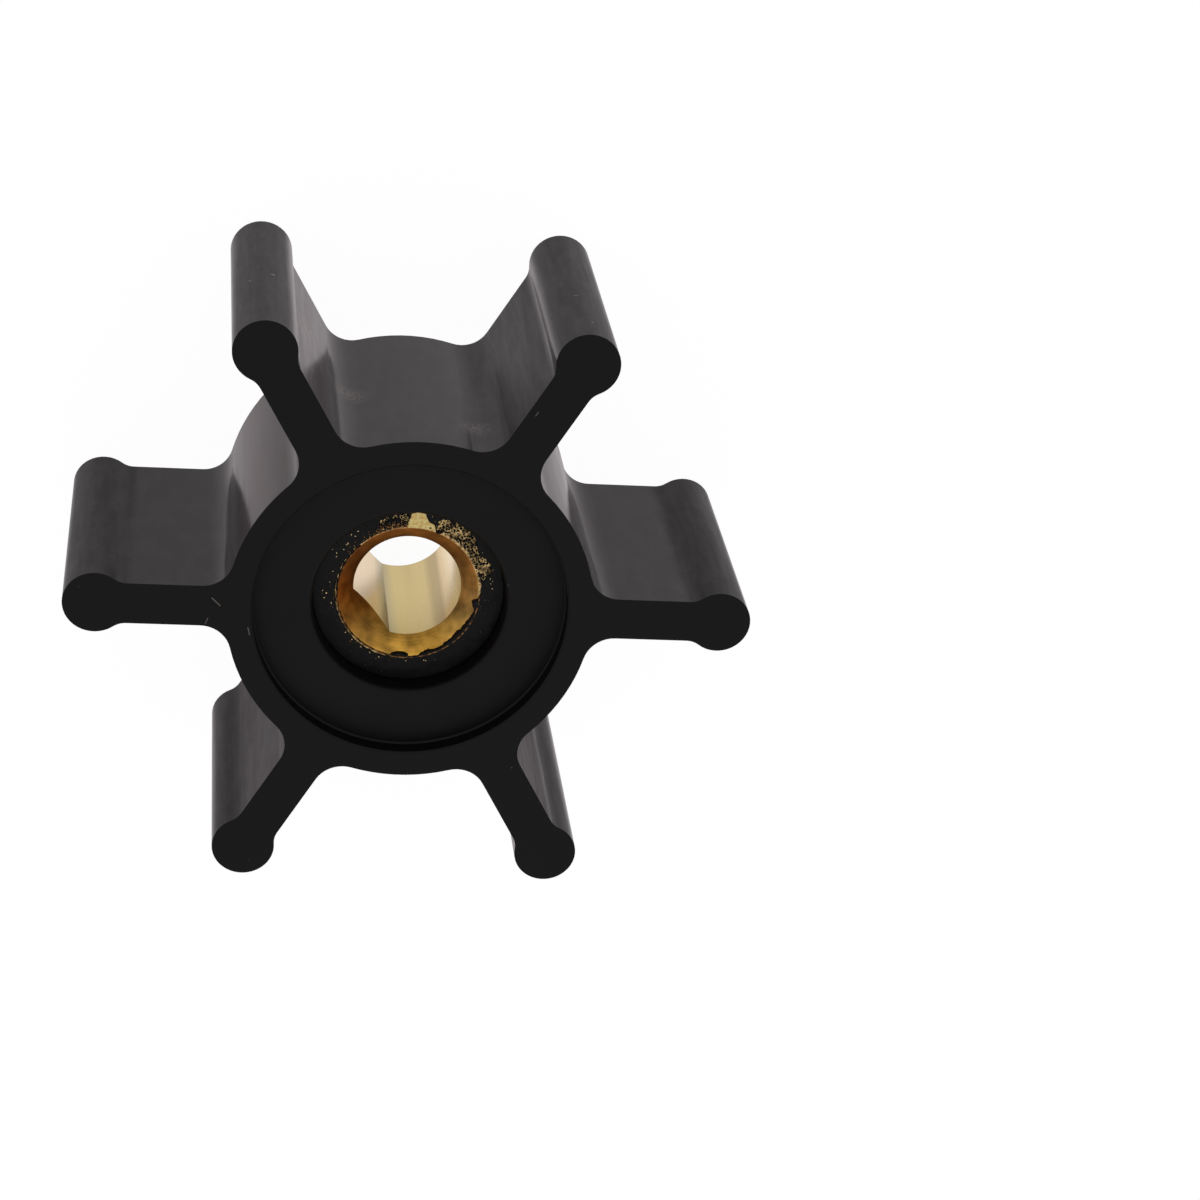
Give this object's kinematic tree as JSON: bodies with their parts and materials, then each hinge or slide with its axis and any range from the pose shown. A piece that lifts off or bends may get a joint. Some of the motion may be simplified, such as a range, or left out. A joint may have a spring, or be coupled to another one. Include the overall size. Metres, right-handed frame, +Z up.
{
  "type": "rubber pump impeller",
  "caption": "Flexible-vane rubber pump impeller: straight vanes with round-beaded tips on a recessed hub, bonded to a brass insert bored for a shaft with one flat.",
  "frame": {"origin": "centre of the lower end face, on the shaft axis; the part lies flat on that face", "axes": "+Z up along the shaft axis; +X along the middle of one vane, so that X is tip to tip"},
  "size_m": [0.0508, 0.0446, 0.022],
  "materials": {
    "nitrile_rubber": "moulded, satin black",
    "turned_brass": "machined"
  },
  "bodies": {
    "root": {"rubber_impeller": "nitrile_rubber", "brass_insert": "turned_brass"}
  },
  "joints": []
}
